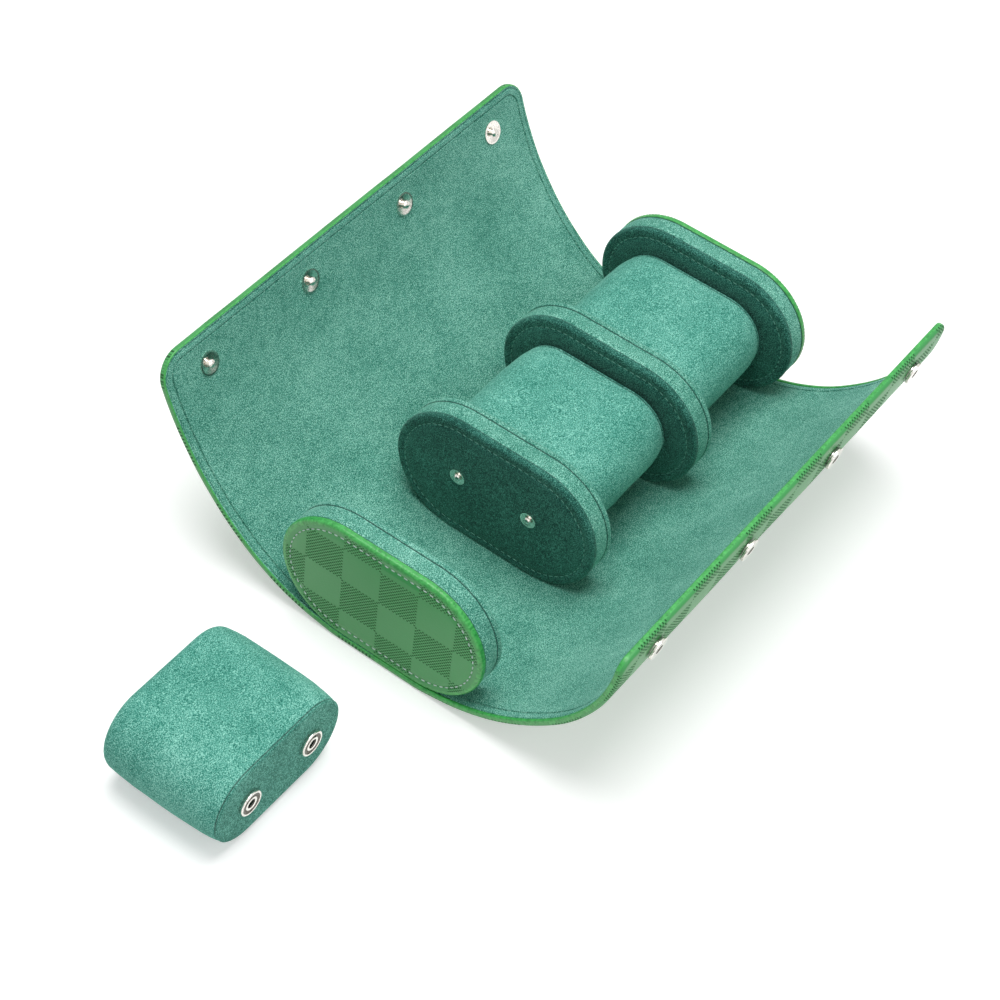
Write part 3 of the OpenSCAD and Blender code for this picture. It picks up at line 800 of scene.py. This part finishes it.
def makeBand(index):
    d = dividers
    low, high = 0.02, d["gap"] - 0.02
    profile = [(low, 1.4), (low, 0.55), (0.3, 0.12), (0.9, 0.0)]
    profile += [(d["gap"] * t, -0.22 * math.sin(math.pi * t)) for t in (0.3, 0.5, 0.7)]
    profile += [(high - 0.9, 0.0), (high - 0.3, 0.12), (high, 0.55), (high, 1.4)]
    drop = 2 * d["drop"]
    bm = loftOval(d["width"] - drop + 0.5, d["height"] - drop + 0.5, profile, d["segments"],
                  closed=True)
    start = d["fronts"][index - 1] + d["panel"]
    putInPlace(bm, Matrix.Translation((start, 0, d["centre"])))
    addPiece(f"divider_{index}_band_cover", bm, [liningSuede], "case",
             [f"divider_{index}_band"])
    for seam, x in (("front", 0.0), ("back", d["gap"])):
        line = loftOval(d["width"] - 0.7, d["height"] - 0.7,
                        [(-0.32, 0.5), (-0.22, 0.02), (0.22, 0.02), (0.32, 0.5)], d["segments"],
                        closed=True)
        putInPlace(line, Matrix.Translation((start + x, 0, d["centre"])))
        addPiece(f"divider_{index}_{seam}_seam", line, [seamThread], "case")


for index in range(1, 5):
    makePanel(index, "front")
    makePanel(index, "back")
    makeBand(index)
print("dividers made")


# The cushions lie along X from their socket end. Sizes in mm, from the frame.
cushion = {
    "width": 77.0, "height": 42.0, "length": 57.5, "draw": 2.0, "under": 0.7,
    "roll": 4.5, "groove": 0.7, "seamIn": 4.4, "segments": 144, "clothSegments": 96,
    "voxel": 4.0, "held": 2.5, "pressure": 4.0, "frames": 20, "mostSwell": 1.3,
    "endFade": 0.06, "dents": 0.3, "broadDent": 15, "fineDent": 6,
    "seat": (27.7, 102.7), "seatHeight": 36.0, "lieX": -197.5, "lieY": -14.0,
    "snapY": 18.0, "endEdge": -1.2, "fill": 0.8,
}


def cushionProfile():
    c = cushion
    length = c["length"]

    def inset(x):
        u = x / length
        return c["draw"] * abs(2 * u - 1) ** 5 + c["under"]

    start = [(0.0, 19.0), (0.0, 13.0), (-0.02, 8.0), (-0.02, 4.6), (0.0, 2.9), (0.12, 2.3),
             (0.35, 2.0), (0.75, 1.95), (1.0, 2.3), (1.1, 2.0 + c["groove"]), (1.25, 2.4),
             (1.5, 1.9)]
    # lofted away from the socket end, towards -X; the far end is rolled round without a seam
    rings = [(-x, d + c["under"] * 0.6) for x, d in start]
    rings += [(-x, inset(x)) for x in (2.2, 3.4, 5, 8, 12, 17, 23, 29, 35, 41, 46, 50)]
    roll = c["roll"]
    for i in range(9):
        turn = math.pi / 2 * i / 8
        x = length - roll * (1 - math.sin(turn))
        rings.append((-x, inset(length - roll) + roll * (1 - math.cos(turn))))
    rings += [(-length, 9.0), (-length, 13.0), (-length, 19.0)]
    return rings


# Cloth under a little air pressure, held at both end boards, says how the cover fills out.
def clothSwell():
    c = cushion
    bm = loftOval(c["width"], c["height"], cushionProfile(), c["clothSegments"])
    bmesh.ops.scale(bm, verts=bm.verts, vec=(mm, mm, mm))
    bmesh.ops.recalc_face_normals(bm, faces=bm.faces)
    mesh = bpy.data.meshes.new("swellStart")
    bm.to_mesh(mesh)
    bm.free()
    pad = bpy.data.objects.new("swell", mesh)
    scene.collection.objects.link(pad)
    voxels = pad.modifiers.new("voxels", "REMESH")
    voxels.mode = "VOXEL"
    voxels.voxel_size = c["voxel"] * mm
    graph = bpy.context.evaluated_depsgraph_get()
    pad.data = bpy.data.meshes.new_from_object(pad.evaluated_get(graph))
    pad.modifiers.clear()
    rest = [v.co.copy() for v in pad.data.vertices]
    held = pad.vertex_groups.new(name="held")
    ends = [i for i, p in enumerate(rest)
            if p.x > -c["held"] * mm or p.x < (c["held"] - c["length"]) * mm]
    held.add(ends, 1.0, "REPLACE")
    cloth = pad.modifiers.new("cloth", "CLOTH")
    cloth.settings.use_pressure = True
    cloth.settings.uniform_pressure_force = c["pressure"]
    cloth.settings.vertex_group_mass = "held"
    cloth.settings.effector_weights.gravity = 0
    for step in range(1, c["frames"] + 1):
        scene.frame_set(step)
    graph = bpy.context.evaluated_depsgraph_get()
    moved = [v.co.copy() for v in pad.evaluated_get(graph).data.vertices]
    scene.frame_set(1)
    bpy.data.objects.remove(pad)
    tree = kdtree.KDTree(len(rest))
    for i, point in enumerate(rest):
        tree.insert(point / mm, i)
    tree.balance()
    shifts = []
    for a, b in zip(rest, moved):
        shift = (b - a) / mm
        if shift.length > c["mostSwell"]:
            shift *= c["mostSwell"] / shift.length
        shifts.append(shift)
    return tree, shifts


swell = clothSwell()
print("cloth settled" if swell else "cloth left out of this quick look")


# The swelling at a point, mixed from the nearest points of the cloth.
def swellAt(point):
    if swell is None:
        return Vector((0, 0, 0))
    tree, shifts = swell
    found = tree.find_n(point, 6)
    weights = [1 / (0.6 + gap) for _, _, gap in found]
    total = Vector((0, 0, 0))
    for (_, i, _), weight in zip(found, weights):
        total += shifts[i] * weight
    return total / sum(weights)


# Each socket is turned from one profile: shank, waist, rolled rim, dished face and a collar round
# the bore, with the groove for its spring. Radius and height over the cover, in mm.
socket = {
    "profile": [(0, -3), (3.1, -3), (3.1, 0), (5.25, 0), (5.25, 0.3), (5.5, 0.33), (5.7, 0.5),
                (5.75, 0.8), (5.75, 1.35), (5.68, 1.6), (5.45, 1.78), (5.1, 1.8), (4.85, 1.66),
                (4.6, 1.35), (4.2, 1.1), (3.7, 1.1), (3.4, 1.3), (3.2, 1.6), (3.0, 1.75),
                (2.7, 1.8), (2.3, 1.75), (2.1, 1.55), (2.1, 1.325), (2.75, 1.325),
                (2.75, 0.675), (2.1, 0.675), (2.1, -1), (0, -1)],
    "dish": (3.2, 4.85), "bore": 2.77, "boreTop": 1.55, "steps": 64,
}


# Turned about X. The dish and the bore hold a darker plate: painted shade and a painted dark
# reflection in these hollows.
def turnSockets(places):
    bm = bmesh.new()
    for place in places:
        line = [bm.verts.new((height, place + radius, 0)) for radius, height in socket["profile"]]
        edges = [bm.edges.new(ends) for ends in zip(line, line[1:])]
        bmesh.ops.spin(bm, geom=line + edges, cent=(0, place, 0), axis=(1, 0, 0),
                       angle=2 * math.pi, steps=socket["steps"], use_merge=True)
    bmesh.ops.remove_doubles(bm, verts=bm.verts, dist=1e-4)
    for face in bm.faces:
        spot = face.calc_center_median()
        radius = min(math.hypot(spot.y - place, spot.z) for place in places)
        dished = socket["dish"][0] < radius < socket["dish"][1] and spot.x > 1
        bored = radius < socket["bore"] and -1.1 < spot.x < socket["boreTop"]
        face.material_index = int(dished or bored)
    return bm


def makeCushion(name, turn, x, y, z, seed):
    c = cushion
    bm = loftOval(c["width"], c["height"], cushionProfile(), c["segments"])
    for vert in bm.verts:
        along = -vert.co.x / c["length"]
        body = ease(along / c["endFade"]) * ease((1 - along) / c["endFade"])
        shift = swellAt(vert.co) * body
        dent = noise.noise(vert.co / c["broadDent"] + Vector((seed, 0, 0)))
        dent += 0.5 * noise.noise(vert.co / c["fineDent"] + Vector((0, seed, 0)))
        way = Vector((0, vert.co.y * 0.4, vert.co.z)).normalized()
        vert.co += shift + way * (c["dents"] * body * dent)
    # the socket end takes the darker suede, as painted shade
    for face in bm.faces:
        face.material_index = int(face.calc_center_median().x > c["endEdge"])
    # the nap's pattern starts elsewhere on each cushion
    spot = Matrix.Translation((x, y, z)) @ Matrix.Rotation(math.radians(turn), 4, "Z")
    putInPlace(bm, spot)
    body = f"{name}_cushion"
    piece = addPiece(f"{body}_pad", bm, [cushionSuede, shadedEndSuede], body,
                     [f"{body}_cover"])
    seam = loftOval(c["width"] - c["seamIn"], c["height"] - c["seamIn"],
                    [(-1.35, 0.8), (-1.25, 0.42), (-0.95, 0.42), (-0.85, 0.8)], c["segments"],
                    closed=True)
    putInPlace(seam, spot)
    addPiece(f"{body}_seam", seam, [seamThread], body)
    pair = turnSockets((-c["snapY"], c["snapY"]))
    putInPlace(pair, spot)
    addPiece(f"{body}_socket_pair", pair, [nickel, shadedNickel], body, [f"{body}_sockets"])


makeCushion("middle", 0, cushion["seat"][0], 0, cushion["seatHeight"], 1.7)
makeCushion("rear", 0, cushion["seat"][1], 0, cushion["seatHeight"], 5.2)
makeCushion("front", -90, cushion["lieX"], cushion["lieY"], cushion["height"] / 2, 9.4)
print("cushions made")


# Snaps, springs, caps, boards and foam are kept as the frame has them.
def dress(name, material):
    mesh = nodes[name].data
    mesh.materials.clear()
    mesh.materials.append(material)


for name in nodes:
    if "spring" in name:
        dress(name, springSteel)
    elif "stud" in name or "socket" in name:
        dress(name, nickel)
    elif "board" in name:
        dress(name, pulpBoard)
    elif name.endswith("core"):
        dress(name, openFoam)
print("carried parts dressed")


# Lamp sizes and places in metres, strengths in watts.
studio = {
    "floor": (0.8, 0.8, 0.8, 1.0), "white": "#ffffff", "ground": -0.0001, "floorSize": 8.0,
    "floorGlow": 0.38, "world": 0.36,
    "lamps": [
        ("overhead", (0.05, 0.1, 1.6), 1.2, 22.5),
        ("side", (-1.3, -0.9, 1.1), 1.4, 3.4),
        ("front", (-0.3, -1.35, 1.3), 1.2, 3.6),
    ],
}


# Is 1 for what the camera, a reflection or a clear part sees, and 0 for the light on the case.
def seenStraight(tree):
    path = addNode(tree, "LightPath")
    seen = path.outputs["Is Camera Ray"]
    for ray in ("Is Glossy Ray", "Is Transmission Ray"):
        seen = addNode(tree, "Math", {"operation": "MAXIMUM"},
                       {0: seen, 1: path.outputs[ray]}).outputs[0]
    return seen


# A matt white table that glows a little where it is seen, and so stays white and keeps shadows.
def whiteFloor():
    material, tree = newMaterial("whiteTable")
    glow = addNode(tree, "Math", {"operation": "MULTIPLY"},
                   {0: seenStraight(tree), 1: studio["floorGlow"]})
    matt = addNode(tree, "BsdfDiffuse", None, {"Color": studio["floor"]})
    bright = addNode(tree, "Emission", None, {
        "Color": linear(studio["white"]), "Strength": glow.outputs[0]})
    both = addNode(tree, "AddShader", None, {0: matt.outputs[0], 1: bright.outputs[0]})
    finishMaterial(tree, both)
    return material


def makeStudio():
    bm = bmesh.new()
    bmesh.ops.create_grid(bm, x_segments=2, y_segments=2, size=studio["floorSize"] / 2)
    bmesh.ops.translate(bm, verts=bm.verts, vec=(0, 0, studio["ground"]))
    mesh = bpy.data.meshes.new("table")
    bm.to_mesh(mesh)
    bm.free()
    mesh.materials.append(whiteFloor())
    table = bpy.data.objects.new("table", mesh)
    scene.collection.objects.link(table)
    for name, place, size, power in studio["lamps"]:
        lamp = bpy.data.lights.new(name, "AREA")
        lamp.shape = "DISK"
        lamp.size = size
        lamp.energy = power
        holder = bpy.data.objects.new(name, lamp)
        holder.location = place
        holder.rotation_euler = (-Vector(place)).to_track_quat("-Z", "Y").to_euler()
        scene.collection.objects.link(holder)
    world = bpy.data.worlds.new("softRoom")
    scene.world = world
    world.use_nodes = True
    tree = world.node_tree
    tree.nodes.clear()
    strength = addNode(tree, "MapRange", None, {
        "Value": seenStraight(tree), "To Min": studio["world"], "To Max": 1.0})
    sky = addNode(tree, "Background", None, {
        "Color": linear(studio["white"]), "Strength": strength.outputs[0]})
    addNode(tree, "OutputWorld", None, {"Surface": sky.outputs[0]})


makeStudio()
print("table and light set")
